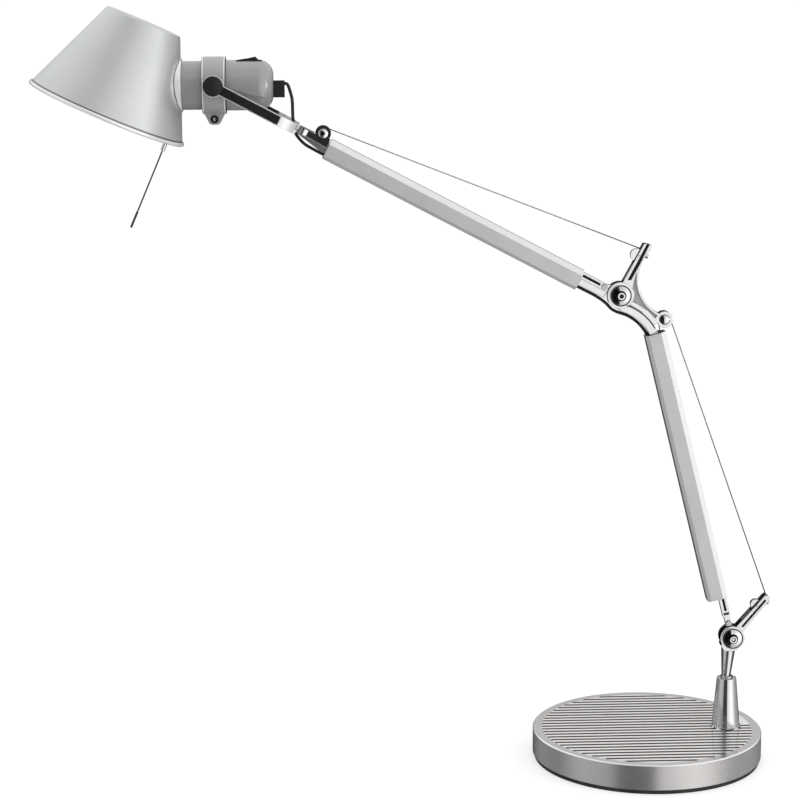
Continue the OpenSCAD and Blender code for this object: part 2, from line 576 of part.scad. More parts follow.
module bulb_glass() color(white) head_frame() rotate([0, -90, 0]) rotate_extrude($fn = 64) difference() {
  union() {
    translate([0, 70]) circle(r = 21);
    polygon([[0, 49.2], [13, 49.2], [14.6, 55], [0, 60]]);
  }
  translate([0, 70]) circle(r = 20);
  polygon([[-1, 48], [11.9, 48], [13.4, 55.6], [0, 66]]);
  translate([-60, 0]) square([60, 200]);
}
module switch_bezel() color(black) head_frame() difference() {
  block([18.6, -6.4, 12], [39.4, 6.4, 20.6]);
  block([19.9, -5.1, 14], [38.1, 5.1, 30]);
}
// the rocker's high side is at the back, it turns on a pin across the bezel
module rocker() color(black) head_frame() plate(9.4) polygon([
  [20.4, 16.2], [37.6, 16.2], [37.6, 20], [34.2, 23.3], [27.8, 21.9], [20.4, 20.9]]);
module strain_relief() color(black) head_frame() difference() {
  union() {
    block([48.95, -5, -10.2], [58.2, 5, 3.6]);
    xdisc(2.8, 44.5, 49.4);
  }
  translate([0, 0, 1.2]) xdisc(lead_d / 2 + 0.1, 40, 70);
}
module shade() color(silver) difference() {
  shade_frame() rotate_extrude($fn = 128) difference() {
    union() {
      polygon([[shade_rim_d / 2 - 1.2, 0], [shade_rim_d / 2, 0], [shade_top_d / 2, shade_h], [0, shade_h],
        [0, shade_h - 1.2], [shade_top_d / 2 - 1.8, shade_h - 1.2]]);
      translate([shade_rim_d / 2 - 0.4, 0]) circle(r = 1.7, $fn = 24);
    }
  }
  head_frame() xdisc(19.1, -60, 0);
  shade_frame() translate([55.3, -37.9, -3]) cylinder(r = 1.15, h = 2.8);
}
module handle_ferrule() color(chrome) shade_frame() translate([55.3, -37.9, 0]) {
  translate([0, 0, -7.6]) cylinder(r = 1.9, h = 5.8);
  translate([0, 0, -2]) cylinder(r = 1.1, h = 1.7);
}
module handle_rod() color(chrome) shade_frame() translate([55.3, -37.9, -75.9]) {
  cylinder(r = 0.65, h = 68.3);
  cylinder(r = 0.95, h = 14);
}

/* ---------- black lead from the head to the upper tube ---------- */
function up(x, z) = [-x * cos(upper_slope) + z * sin(upper_slope), 0, x * sin(upper_slope) + z * cos(upper_slope)];
lead_head = [for (q = [[50, 0, 1.2], [54, 0, 1.2], [58.2, 0, 1.2], [60.6, 0.2, 0.2], [62.4, 0.9, -4.4],
  [64.3, 2.4, -13]]) [p2x + q[0], q[1], p2z + q[2]]];
lead_tail = [for (q = [[37.2, 5.4, 4.8], [33.4, 0.2, 5.7], [30.9, -3.2, 5.7], [27.6, -6.6, 4.6], [18.8, -9.8, 1.5],
  [8.4, -10.4, 0], [-2, -10.4, 0], [-20, -10.4, 0]]) [p1x, q[2], p1z] + up(utube1 + q[0], q[1])];
module head_lead() color(black) sweep(curve(concat(lead_head, lead_tail), 4), lead_d / 2, 10);

base_foot();
base_weight();
base_cover();
socket_cone();
socket_bush();
socket_bolt();
socket_washer();
stem();
stem_bolt();
stem_disc_near();
stem_disc_far();
stem_nut();
stem_cam();
stem_screw();
lower_tongue();
lower_screw();
lower_tube();
lower_spring();
elbow_bracket();
elbow_bolt();
elbow_disc_near();
elbow_disc_far();
elbow_nut();
elbow_cam();
elbow_screw();
lower_pin();
lower_pulley();
lower_cable();
upper_tongue();
upper_screw();
upper_tube();
upper_spring();
front_bracket();
pulley_block();
upper_pin();
upper_pulley();
upper_cable();
elbow_lead();
fork_stud();
fork_nut();
fork_yoke();
fork_inlay_near();
fork_inlay_far();
ring_clamp();
clamp_screw();
clamp_nut();
tilt_cap_near();
tilt_cap_far();
housing();
switch_bezel();
rocker();
strain_relief();
side_collar();
lamp_holder();
shade();
bulb_cap();
bulb_glass();
handle_ferrule();
handle_rod();
head_lead();
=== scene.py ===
"""Looks of the swing arm desk lamp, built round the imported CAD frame. Everything is in metres."""
import math

import bpy
import numpy as np
from mathutils import Matrix, Vector


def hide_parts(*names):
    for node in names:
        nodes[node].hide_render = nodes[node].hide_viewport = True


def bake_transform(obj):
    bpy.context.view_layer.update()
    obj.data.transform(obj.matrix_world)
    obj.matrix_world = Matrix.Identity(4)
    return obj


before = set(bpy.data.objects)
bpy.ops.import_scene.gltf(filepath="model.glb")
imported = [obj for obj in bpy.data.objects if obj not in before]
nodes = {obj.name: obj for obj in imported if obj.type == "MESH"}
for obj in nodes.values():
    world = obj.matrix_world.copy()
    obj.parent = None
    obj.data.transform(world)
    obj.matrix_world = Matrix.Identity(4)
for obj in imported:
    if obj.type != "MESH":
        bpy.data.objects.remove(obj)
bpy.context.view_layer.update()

# ---------------------------------------------------------------- the lamp at rest
LOWER_LEAN = math.radians(13.9)  # the lower arm, back from the vertical
UPPER_SLOPE = math.radians(27.9)  # the upper arm, up from the level
LEVER_ANGLE = math.radians(50)  # the stem's lever, up from the level
SHADE_TILT = math.radians(23.5)
STEM_PIVOT = np.array([0.0735, 0.0, 0.107])
LOWER_TUBE_END = 0.2787  # along each arm from its pivot
UPPER_TUBE_END = 0.2772

BASE_TOP = 0.0254
GROOVE_PITCH = 0.00725

WHEEL_RADIUS = 0.0052  # of a cable's middle line round its wheel
ROPE_DIAMETER = 0.0011
ROPE_SIDES = 12
ROPE_STEP = 0.0007
LEAD_DIAMETER = 0.0027
LEAD_SIDES = 16


def lower(x, y, z):
    """A point of the lower arm's frame in the row frame."""
    return STEM_PIVOT + np.array([x * math.cos(LOWER_LEAN) - z * math.sin(LOWER_LEAN), y,
                                  x * math.sin(LOWER_LEAN) + z * math.cos(LOWER_LEAN)])


ELBOW_PIVOT = lower(-0.026, 0, 0.318)


def upper(x, y, z):
    """A point of the upper arm's frame in the row frame."""
    return ELBOW_PIVOT + np.array([-x * math.cos(UPPER_SLOPE) + z * math.sin(UPPER_SLOPE), y,
                                   x * math.sin(UPPER_SLOPE) + z * math.cos(UPPER_SLOPE)])


HEAD_PIVOT = upper(UPPER_TUBE_END + 0.1068, 0, -0.0012)
SHADE_RIM = HEAD_PIVOT + np.array([-0.08924, 0, -0.02207])
CLAMP_SCREW = HEAD_PIVOT + np.array([0, 0, -0.0276])
LOWER_WHEEL = (0.0057, LOWER_TUBE_END + 0.0097)  # x and z in each arm's frame
UPPER_WHEEL = (UPPER_TUBE_END + 0.0087, 0.0052)


# ---------------------------------------------------------------- materials
def grey(value):
    return (value, value, value)


class Mat:
    """A small builder of procedural materials. In a keyword __ stands for a space."""

    def __init__(self, name, **values):
        self.material = bpy.data.materials.new(name)
        self.material.use_nodes = True
        self.tree = self.material.node_tree
        self.shader = self.tree.nodes["Principled BSDF"]
        for key, value in values.items():
            self.shader.inputs[key.replace("__", " ")].default_value = value
        coordinates = self.node("ShaderNodeTexCoord")
        self.place = coordinates.outputs["Object"]
        self.normal = coordinates.outputs["Normal"]

    def node(self, kind, **values):
        """A new node. A keyword that starts with _ is an attribute, any other an input."""
        n = self.tree.nodes.new(kind)
        for key, value in values.items():
            if key.startswith("_"):
                setattr(n, key[1:], value)
            else:
                n.inputs[key.replace("__", " ")].default_value = value
        return n

    def link(self, a, b):
        self.tree.links.new(a, b)

    def mapped(self, vector, kind="POINT", **values):
        n = self.node("ShaderNodeMapping", _vector_type=kind, **values)
        self.link(vector, n.inputs["Vector"])
        return n.outputs["Vector"]

    def split(self, vector):
        n = self.node("ShaderNodeSeparateXYZ")
        self.link(vector, n.inputs[0])
        return [n.outputs[axis] for axis in "XYZ"]

    def noise(self, vector, scale, detail=3.0, rough=0.55):
        n = self.node("ShaderNodeTexNoise", Scale=scale, Detail=detail, Roughness=rough)
        self.link(vector, n.inputs["Vector"])
        return n.outputs["Fac"]

    def spread(self, value, low, high, a=0.3, b=0.7):
        """Goes from low to high as the value goes from a to b, and stays there outside them."""
        n = self.node("ShaderNodeMapRange", From__Min=a, From__Max=b, To__Min=low, To__Max=high)
        self.link(value, n.inputs["Value"])
        return n.outputs["Result"]

    def rise(self, value, a, b):
        """0 up to a, 1 from b on."""
        return self.spread(value, 0, 1, a, b)

    def fall(self, value, a, b):
        """1 up to a, 0 from b on."""
        return self.spread(value, 1, 0, a, b)

    def mix(self, factor, a, b, blend="MIX"):
        """Between two colours, each a tuple or a socket."""
        n = self.node("ShaderNodeMix", _data_type="RGBA", _blend_type=blend)
        for slot, color in (("A", a), ("B", b)):
            if isinstance(color, tuple):
                n.inputs[slot].default_value = (*color, 1)
            else:
                self.link(color, n.inputs[slot])
        self.link(factor, n.inputs["Factor"])
        return n.outputs["Result"]

    def math(self, op, *values):
        n = self.node("ShaderNodeMath", _operation=op)
        for i, value in enumerate(values):
            if isinstance(value, (int, float)):
                n.inputs[i].default_value = value
            else:
                self.link(value, n.inputs[i])
        return n.outputs[0]

    def times(self, a, b):
        return self.math("MULTIPLY", a, b)

    def distance(self, a, b):
        """From the origin, of a point with the coordinates a and b."""
        return self.math("SQRT", self.math("ADD", self.times(a, a), self.times(b, b)))

    def bevel(self, edge):
        return self.node("ShaderNodeBevel", Radius=edge, _samples=4).outputs["Normal"]

    def outline(self, color, low, high, edge):
        """Painted reflection: metal that turns away from the eye would mirror the dark of the
        studio behind it, so there its colour is darkened.
        """
        weight = self.node("ShaderNodeLayerWeight", Blend=0.5)
        self.link(self.bevel(edge), weight.inputs["Normal"])
        return self.mix(self.spread(weight.outputs["Facing"], 0, 0.9, low, high), color, grey(0.02))

    def surface(self, color, rough, heights, edge=0.0):
        """Links colour and roughness, then chains the bumps over softened edges."""
        self.link(color, self.shader.inputs["Base Color"])
        self.link(rough, self.shader.inputs["Roughness"])
        normal = self.bevel(edge) if edge else None
        for value, strength, distance in heights:
            bump = self.node("ShaderNodeBump", Strength=strength, Distance=distance)
            self.link(value, bump.inputs["Height"])
            if normal is not None:
                self.link(normal, bump.inputs["Normal"])
            normal = bump.outputs["Normal"]
        self.link(normal, self.shader.inputs["Normal"])
        return self.material


def plain(name, clouds, tones, grain, rough, relief, edge=0.0, **values):
    """Clouds between two tones, with one fine grain in the roughness and the relief."""
    m = Mat(name, **values)
    fine = m.noise(m.place, *grain)
    color = m.mix(m.spread(m.noise(m.place, *clouds), 0, 1), *tones)
    return m.surface(color, m.spread(fine, *rough), [(fine, *relief)], edge)


def plastic(name, tone=0.010, rough=0.34, grain=2600, edge=0.0004, coat=0.0):
    """Black moulded plastic with fine spark texture."""
    return plain(name, (120, 4), ((tone, tone, tone * 1.05), (tone * 1.9, tone * 1.9, tone * 2)),
                 (grain, 3), (rough - 0.06, rough + 0.08), (0.12, 0.00008), edge,
                 Specular__IOR__Level=0.25, Coat__Weight=coat, Coat__Roughness=0.12)


def ceramic(name):
    """White glazed ceramic, or the white nylon of the bush."""
    return plain(name, (70, 3), ((0.80, 0.785, 0.74), (0.87, 0.86, 0.82)), (1400, 3), (0.35, 0.55),
                 (0.15, 0.0001), 0.0004)


def polished(name, tone=0.86, rough=(0.035, 0.1), wave=0.12, edge=0.0004, dark_from=(0.35, 0.65)):
    """Polished castings and fittings: a hint of hand-polished waviness and fine wipe marks."""
    m = Mat(name, Metallic=1.0)
    big = m.noise(m.place, 42, 2)
    fine = m.noise(m.place, 900, 4)
    wipe = m.noise(m.mapped(m.place, Rotation=(0.3, 0.5, 0.2), Scale=(1, 6, 1)), 260, 3)
    color = m.mix(m.spread(big, 0, 1), (tone, tone, tone + 0.008),
                  (tone * 0.94, tone * 0.945, tone * 0.955))
    return m.surface(m.outline(color, *dark_from, max(edge, 0.0002)), m.spread(wipe, *rough),
                     [(big, wave, 0.0006), (fine, 0.03, 0.0001)], edge)


def knob(name, pivot, rings, shade=None, shade_end=-0.0012):
    """A polished round part with shadowed rings and, between two radii, a shadowed left side."""
    soft = 0.0002
    m = Mat(name, Metallic=1.0)
    x, _, z = m.split(m.mapped(m.place, Location=(-pivot[0], 0, -pivot[2])))
    radius = m.distance(x, z)

    def band(a, b):
        return m.times(m.rise(radius, a - soft, a), m.fall(radius, b, b + soft))

    dark = [band(*ring) for ring in rings]
    if shade:
        left = m.fall(x, shade_end - 0.0016, shade_end)
        dark.append(m.times(m.times(left, band(*shade)), 0.93))
    darkest = dark[0]
    for other in dark[1:]:
        darkest = m.math("MAXIMUM", darkest, other)
    wave = m.noise(m.place, 60, 2)
    fine = m.noise(m.place, 900, 3)
    color = m.mix(darkest, (0.88, 0.88, 0.885), grey(0.03))
    return m.surface(color, m.spread(fine, 0.02, 0.06), [(wave, 0.04, 0.0005)], 0.0003)


def painted_channel_shade(m, color, depth):
    """Painted shade: darkens the floors of the side channels, which look sideways and lie within
    depth of y = 0.
    """
    inner = m.fall(m.math("ABSOLUTE", m.split(m.place)[1]), depth, depth + 0.0002)
    sideways = m.rise(m.math("ABSOLUTE", m.split(m.normal)[1]), 0.75, 0.85)
    return m.mix(m.times(inner, sideways), color, grey(0.012))


def casting(name, depth):
    """Polished casting with painted shade on its channel floors."""
    edge = 0.0008
    m = Mat(name, Metallic=1.0)
    big = m.noise(m.place, 42, 2)
    fine = m.noise(m.place, 900, 4)
    color = m.mix(m.spread(big, 0, 1), (0.86, 0.86, 0.868), (0.81, 0.815, 0.825))
    color = m.outline(painted_channel_shade(m, color, depth), 0.22, 0.42, edge)
    return m.surface(color, m.spread(fine, 0.05, 0.13),
                     [(big, 0.09, 0.0006), (fine, 0.03, 0.0001)], edge)


def elbow_casting(name):
    """Polished casting whose recessed web was left as it came from the mould."""
    edge = 0.0009
    m = Mat(name)
    web = m.fall(m.math("ABSOLUTE", m.split(m.place)[1]), 0.0043, 0.0047)
    big = m.noise(m.place, 42, 2)
    cast = m.noise(m.place, 1400, 4)
    bright = m.mix(m.spread(big, 0, 1), (0.88, 0.88, 0.885), (0.82, 0.82, 0.83))
    # the channel floors get painted shade
    color = painted_channel_shade(m, m.mix(web, bright, (0.38, 0.38, 0.385)), 0.0036)
    rough = m.math("ADD", m.spread(cast, 0.06, 0.12), m.times(web, 0.38))
    m.link(m.spread(web, 1.0, 0.35, 0, 1), m.shader.inputs["Metallic"])
    return m.surface(m.outline(color, 0.22, 0.42, edge), rough,
                     [(big, 0.08, 0.0006), (cast, 0.04, 0.0001)], edge)


def satin_cast(name):
    """Fine-satin casting with bright edges. The inner faces of the fork's arms, which face each
    other, are darkened to near black as painted shade.
    """
    m = Mat(name, Metallic=0.55, Specular__IOR__Level=0.6, Coat__Weight=0.3, Coat__Roughness=0.05)
    fine = m.noise(m.place, 1600, 3)
    color = m.mix(m.spread(m.noise(m.place, 50, 2), 0, 1), (0.80, 0.805, 0.81), (0.87, 0.875, 0.88))
    x, y, _ = m.split(m.place)
    # painted shade on the faces of the fork's arms that face each other
    painted_inner_shade = m.fall(m.times(m.split(m.normal)[1], m.math("SIGN", y)), -0.8, -0.6)
    on_arms = m.fall(x, HEAD_PIVOT[0] + 0.052, HEAD_PIVOT[0] + 0.054)
    color = m.mix(m.times(painted_inner_shade, on_arms), color, grey(0.03))
    return m.surface(color, m.spread(fine, 0.14, 0.24), [(fine, 0.05, 0.00005)], 0.0005)


def satin_tube(name, tilt, side, bright, dark):
    """Satin anodised extrusion.

    Of its front chamfers, the one towards +side catches light, the other shade.
    """
    m = Mat(name)
    line = m.noise(m.mapped(m.place, Rotation=(0, tilt, 0), Scale=(1, 1, 0.02)), 2600, 3)
    cloud = m.noise(m.place, 34, 2)
    grain = m.noise(m.place, 5200, 2)
    normal = dict(zip("XYZ", m.split(m.normal)))
    front = m.fall(normal["Y"], -0.5, -0.3)
    lit = m.times(front, m.spread(normal[side], 0, bright, 0.3, 0.5))
    unlit = m.times(front, m.spread(normal[side], dark, 0, -0.5, -0.3))
    color = m.mix(m.spread(cloud, 0, 1), (0.52, 0.525, 0.53), (0.57, 0.575, 0.58))
    color = m.mix(unlit, color, grey(0.40))
    color = m.mix(lit, color, grey(0.80))
    color = m.outline(color, 0.70, 0.95, 0.0004)
    m.link(m.spread(lit, 0.55, 0.2, 0, 1), m.shader.inputs["Metallic"])
    rough = m.math("ADD", m.spread(line, 0.30, 0.38), m.spread(grain, -0.02, 0.03))
    return m.surface(color, rough, [(line, 0.10, 0.00012), (grain, 0.06, 0.00005)], 0.0005)


def paint(name, tone, rough, metal, rims=None):
    """Satin silver lacquer with a fine metallic flake.

    rims: middle and half width, along x, of a ring with a painted highlight just inside each of its
    rims and a painted dark line at its very edges.
    """
    m = Mat(name, Metallic=metal, Coat__Weight=0.25, Coat__Roughness=0.22)
    flake = m.node("ShaderNodeTexVoronoi", Scale=5200)
    m.link(m.place, flake.inputs["Vector"])
    peel = m.noise(m.place, 700, 2)
    cloud = m.noise(m.place, 30, 2)
    bright = m.math("ADD", m.spread(flake.outputs["Distance"], -0.25, 0.25, 0, 1),
                    m.spread(cloud, 0.3, 0.7))
    color = m.mix(bright, tuple(c * 0.93 for c in tone), tuple(c * 1.05 for c in tone))
    if rims:
        middle, half = rims
        near = m.math("ABSOLUTE", m.math("SUBTRACT", m.split(m.place)[0], middle))
        # a painted highlight just inside each edge of the ring, then a painted dark line at the
        # edge itself
        painted_highlight = m.times(m.rise(near, half - 0.0014, half - 0.0011),
                       m.fall(near, half - 0.0006, half - 0.0003))
        color = m.mix(painted_highlight, color, grey(0.80))
        color = m.mix(m.rise(near, half - 0.0006, half - 0.0003), color, grey(0.10))
    return m.surface(color, m.spread(peel, rough - 0.03, rough + 0.04), [(peel, 0.03, 0.0001)],
                     0.0004)


def shade_metal(name):
    """Spun and anodised aluminium: turning lines round the shade's axis, pale lacquer inside."""
    m = Mat(name)
    tilt = (0, SHADE_TILT, 0)
    place = m.mapped(m.place, "TEXTURE", Location=tuple(SHADE_RIM), Rotation=tilt)
    height = m.split(place)[2]
    along_axis = m.mapped(place, Scale=(0.0, 0.0, 1.0))
    turning = m.noise(along_axis, 2400, 4, 0.6)
    wide = m.noise(along_axis, 170, 2)
    cloud = m.noise(place, 14, 2)
    grain = m.noise(place, 4200, 2)

    # inside, the surface faces the shade's axis
    across = m.node("ShaderNodeVectorMath", _operation="MULTIPLY")
    across.inputs[1].default_value = (1, 1, 0)
    m.link(place, across.inputs[0])
    facing = m.node("ShaderNodeVectorMath", _operation="DOT_PRODUCT")
    m.link(across.outputs[0], facing.inputs[0])
    m.link(m.mapped(m.normal, "TEXTURE", Rotation=tilt), facing.inputs[1])
    inside = m.fall(facing.outputs["Value"], -0.004, -0.001)

    # the rolled rim is polished and made paler, a painted highlight, with a painted shadow line
    # where it meets the cone
    rim = m.fall(height, 0.0012, 0.0018)
    line = m.times(m.rise(height, 0.0012, 0.0017), m.fall(height, 0.0023, 0.0030))
    line = m.times(line, m.math("SUBTRACT", 1.0, inside))

    color = m.mix(m.math("ADD", m.spread(cloud, -0.1, 0.5), m.spread(wide, 0, 0.5)),
                  (0.655, 0.67, 0.675), (0.72, 0.73, 0.73))
    color = m.mix(inside, color, (0.86, 0.86, 0.85))
    color = m.mix(line, color, grey(0.25), "MULTIPLY")
    color = m.mix(rim, color, (0.80, 0.805, 0.805))
    rough = m.math("ADD", m.spread(turning, 0.36, 0.46), m.times(inside, 0.2))
    rough = m.times(rough, m.spread(rim, 1.0, 0.45, 0, 1))
    metal = m.times(m.spread(inside, 0.84, 0.0, 0, 1), m.spread(rim, 1.0, 0.5, 0, 1))
    m.link(metal, m.shader.inputs["Metallic"])
    return m.surface(color, rough, [(turning, 0.10, 0.00008), (grain, 0.06, 0.00004)], 0.0003)


def base_metal(name):
    """Brushed nickel: brushed straight along the ridges on top and round the rim on the side."""
    m = Mat(name)
    x, y, z = m.split(m.place)
    radius = m.distance(x, y)
    up = m.rise(m.split(m.normal)[2], 0.3, 0.7)

    around = m.node("ShaderNodeCombineXYZ")
    m.link(m.times(m.math("ARCTAN2", y, x), 0.004), around.inputs["X"])
    m.link(z, around.inputs["Z"])
    brush = m.node("ShaderNodeMix", _data_type="FLOAT")
    m.link(up, brush.inputs["Factor"])
    m.link(m.noise(around.outputs[0], 3000, 3), brush.inputs["A"])
    m.link(m.noise(m.mapped(m.place, Scale=(0.02, 1, 1)), 3200, 3), brush.inputs["B"])
    line = brush.outputs["Result"]
    cloud = m.noise(m.place, 26, 3)

    # painted shade: the groove floors are darkened and dulled, the polished ridges are not
    below_ridges = m.times(m.fall(z, BASE_TOP - 0.00012, BASE_TOP - 0.00004),
                           m.rise(z, BASE_TOP - 0.0020, BASE_TOP - 0.0018))
    floors = m.times(below_ridges, m.fall(radius, 0.0950, 0.0955))
    # the painted shade reaches over their rounded shoulders, but on the far side not past x 83 mm
    phase = m.math("FRACT", m.math("ADD", m.times(y, 1 / GROOVE_PITCH), 0.5))
    shoulders = m.fall(m.math("ABSOLUTE", m.math("SUBTRACT", phase, 0.5)), 0.240, 0.255)
    shoulders = m.times(shoulders, m.times(up, m.fall(radius, 0.0915, 0.0920)))
    reach = m.math("MAXIMUM", m.fall(x, 0.0828, 0.0832), m.fall(y, 0.0015, 0.0020))
    groove_shade = m.math("MAXIMUM", floors, m.times(shoulders, reach))

    color = m.mix(m.rise(m.math("ADD", line, m.times(cloud, 0.5)), 0.5, 1.0),
                  (0.50, 0.485, 0.475), (0.60, 0.585, 0.575))
    color = m.mix(groove_shade, color, (0.05, 0.048, 0.048), "MULTIPLY")
    # inside their field the ridges are brighter than the plain margin, and the top edge of the rim
    # is pale: a painted highlight
    field = m.times(m.fall(radius, 0.0918, 0.0922), up)
    color = m.mix(field, color, grey(1.75), "MULTIPLY")
    brim_highlight = m.times(m.rise(radius, 0.0988, 0.0991), up)
    color = m.mix(brim_highlight, color, (0.96, 0.95, 0.94))
    rough = m.math("ADD", m.spread(line, 0.10, 0.17), m.times(m.math("SUBTRACT", 1.0, up), 0.10))
    m.link(m.spread(groove_shade, 0.84, 0.2, 0, 1), m.shader.inputs["Metallic"])
    m.link(m.spread(groove_shade, 0.5, 0.1, 0, 1), m.shader.inputs["Specular IOR Level"])
    return m.surface(color, rough, [(line, 0.10, 0.00008), (cloud, 0.04, 0.0004)], 0.0005)


def wire_rope(name):
    """Stranded steel: the lay shows as fine slanting relief."""
    m = Mat(name, Metallic=1.0)
    lay = m.node("ShaderNodeTexWave", _bands_direction="DIAGONAL", Scale=260, Distortion=0.0)
    m.link(m.place, lay.inputs["Vector"])
    fine = m.noise(m.place, 3000, 3)
    color = m.mix(m.spread(m.noise(m.place, 300, 3), 0, 1), (0.30, 0.30, 0.31), (0.52, 0.52, 0.53))
    return m.surface(color, m.spread(fine, 0.28, 0.45),
                     [(lay.outputs["Fac"], 0.5, 0.0001), (fine, 0.2, 0.00005)])


def dress(material, names):
    """Gives the named CAD pieces one material."""
    for name in names.split():
        data = nodes[name].data
        data.materials.clear()
        data.materials.append(material)


DISC_RINGS = ((0.0081, 0.0090), (0.0034, 0.0044))
DISC_SHADE = (0.0042, 0.0080)
lead_black = plastic("lead_sleeve", 0.012, 0.38, 1600, 0.0)
rope_steel = wire_rope("cable_steel")

dress(base_metal("base_metal"), "base_cover")
dress(plain("cast_iron", (60, 5), ((0.09, 0.09, 0.092), (0.16, 0.15, 0.14)), (900, 4), (0.5, 0.75),
            (0.5, 0.0003), 0.0005, Metallic=0.6, Specular__IOR__Level=0.4), "base_weight")
dress(plain("foot_rubber", (90, 3), (grey(0.012), (0.03, 0.03, 0.029)), (1500, 4), (0.62, 0.85),
            (0.3, 0.0001), Specular__IOR__Level=0.35), "base_foot")
dress(ceramic("bush_nylon"), "socket_bush")
dress(ceramic("holder_ceramic"), "lamp_holder")
dress(plain("bulb_frosted", (40, 2), ((0.93, 0.93, 0.90), (0.98, 0.98, 0.96)), (1800, 2),
            (0.28, 0.40), (0.05, 0.00005), Transmission__Weight=0.35, IOR=1.46), "bulb_glass")

dress(polished("polished_metal"), "stem_nut stem_cam stem_screw elbow_nut elbow_cam elbow_screw "
      "fork_stud fork_nut clamp_nut handle_ferrule")
dress(polished("polished_cone", 0.80, (0.05, 0.11), 0.03, 0.0004, (0.55, 0.8)), "socket_cone")
dress(polished("polished_casting", 0.84, (0.05, 0.13), 0.10, 0.0005), "front_bracket")
dress(polished("small_steel", 0.62, (0.18, 0.32), 0.05, 0.0002),
      "socket_bolt socket_washer lower_screw upper_screw")
dress(polished("spring_steel", 0.45, (0.22, 0.36), 0.05, 0.0), "lower_spring upper_spring")
dress(polished("bulb_cap_metal", 0.66, (0.14, 0.26), 0.04, 0.0003), "bulb_cap")
dress(polished("rod_metal", 0.10, (0.2, 0.3), 0.03, 0.0), "handle_rod")
dress(casting("stem_casting", 0.0036), "stem")
dress(casting("tongue_casting", 0.0012), "lower_tongue upper_tongue")
dress(elbow_casting("elbow_casting"), "elbow_bracket")
dress(satin_cast("fork_metal"), "fork_yoke")

dress(knob("stem_disc_metal", STEM_PIVOT, DISC_RINGS, DISC_SHADE), "stem_disc_near stem_disc_far")
dress(knob("elbow_disc_metal", ELBOW_PIVOT, DISC_RINGS, DISC_SHADE),
      "elbow_disc_near elbow_disc_far")
dress(knob("stem_bolt_metal", STEM_PIVOT, ((0.0012, 0.0019), (0.0031, 0.0037))), "stem_bolt")
dress(knob("elbow_bolt_metal", ELBOW_PIVOT, ((0.0, 0.0019), (0.0031, 0.0037))), "elbow_bolt")
dress(knob("lower_pin_metal", lower(LOWER_WHEEL[0], 0, LOWER_WHEEL[1]), ((0.0039, 0.0045),),
           (0.0, 0.0040), -0.0004), "lower_pin")
dress(knob("upper_pin_metal", upper(UPPER_WHEEL[0], 0, UPPER_WHEEL[1]),
           ((0.0041, 0.0048), (0.0, 0.0016))), "upper_pin")
dress(knob("clamp_screw_metal", CLAMP_SCREW, ((0.0018, 0.0033),)), "clamp_screw")

dress(satin_tube("lower_tube_alu", -LOWER_LEAN, "X", 1.0, 0.3), "lower_tube")
dress(satin_tube("upper_tube_alu", math.pi / 2 - UPPER_SLOPE, "Z", 0.5, 0.0), "upper_tube")
dress(paint("head_lacquer", (0.31, 0.315, 0.315), 0.24, 0.35), "housing")
dress(paint("clamp_lacquer", (0.34, 0.345, 0.345), 0.30, 0.3, (HEAD_PIVOT[0], 0.0098)),
      "ring_clamp")
dress(paint("collar_lacquer", (0.86, 0.865, 0.865), 0.20, 0.35), "side_collar")
dress(shade_metal("shade_metal"), "shade")
dress(plastic("black_plastic"), "lower_pulley upper_pulley pulley_block tilt_cap_near tilt_cap_far "
      "switch_bezel rocker strain_relief")
dress(plastic("black_inlay", 0.008, 0.22, 1800, 0.0003, 0.1), "fork_inlay_near fork_inlay_far")
dress(lead_black, "elbow_lead head_lead")
dress(rope_steel, "lower_cable upper_cable")


# ---------------------------------------------------------------- cables and leads
def smooth(points, steps):
    """A Catmull-Rom curve through given points, with so many steps between two of them."""
    p = [np.array(q, float) for q in points]
    out = []
    for i in range(len(p) - 1):
        a, b, c, d = p[max(i - 1, 0)], p[i], p[i + 1], p[min(i + 2, len(p) - 1)]
        for k in range(steps):
            t = k / steps
            out.append(0.5 * (2 * b + (c - a) * t + (2 * a - 5 * b + 4 * c - d) * t * t
                              + (3 * b - a - 3 * c + d) * t ** 3))
    return np.array(out + [p[-1]])


def distances(line):
    """How far along the line each of its points lies."""
    return np.concatenate([[0], np.cumsum(np.linalg.norm(np.diff(line, axis=0), axis=1))])


def even(line, step):
    """The same line with points a step apart."""
    line = np.array(line, float)
    along = distances(line)
    at = np.linspace(0, along[-1], max(2, int(round(along[-1] / step)) + 1))
    return np.stack([np.interp(at, along, line[:, k]) for k in range(3)], axis=1)


def arc(cx, cz, radius, start, end, steps, place):
    """Points of an arc in the arms' plane between two angles in degrees, all in place's frame."""
    angles = [math.radians(start + (end - start) * i / steps) for i in range(steps + 1)]
    return [place(cx + radius * math.cos(a), 0, cz + radius * math.sin(a)) for a in angles]


def tube(name, line, diameter, sides, material, strands=0, pitch=0.0):
    """A closed tube along a line. With strands its section has that many lobes, laid in a helix."""
    line = np.array(line, float)
    count = len(line)
    along = distances(line)
    tangent = np.gradient(line, axis=0)
    tangent /= np.linalg.norm(tangent, axis=1)[:, None]
    side = np.cross(tangent[0], (0, 1, 0))
    verts, faces = [], []
    for i in range(count):
        side = side - tangent[i] * (side @ tangent[i])
        side /= np.linalg.norm(side)
        other = np.cross(tangent[i], side)
        for k in range(sides):
            a = 2 * math.pi * k / sides
            r = diameter / 2
            if strands:
                r *= 0.92 + 0.08 * math.cos(strands * (a - 2 * math.pi * along[i] / pitch))
            verts.append(line[i] + r * (math.cos(a) * side + math.sin(a) * other))
    for i in range(count - 1):
        for k in range(sides):
            j = (k + 1) % sides
            faces.append((i * sides + k, i * sides + j, (i + 1) * sides + j, (i + 1) * sides + k))
    faces.append(tuple(reversed(range(sides))))
    faces.append(tuple((count - 1) * sides + k for k in range(sides)))
    mesh = bpy.data.meshes.new(name)
    mesh.from_pydata([tuple(v) for v in verts], [], faces)
    mesh.shade_smooth()
    mesh.materials.append(material)
    ob = bpy.data.objects.new(name, mesh)
    bpy.context.scene.collection.objects.link(ob)
    return ob


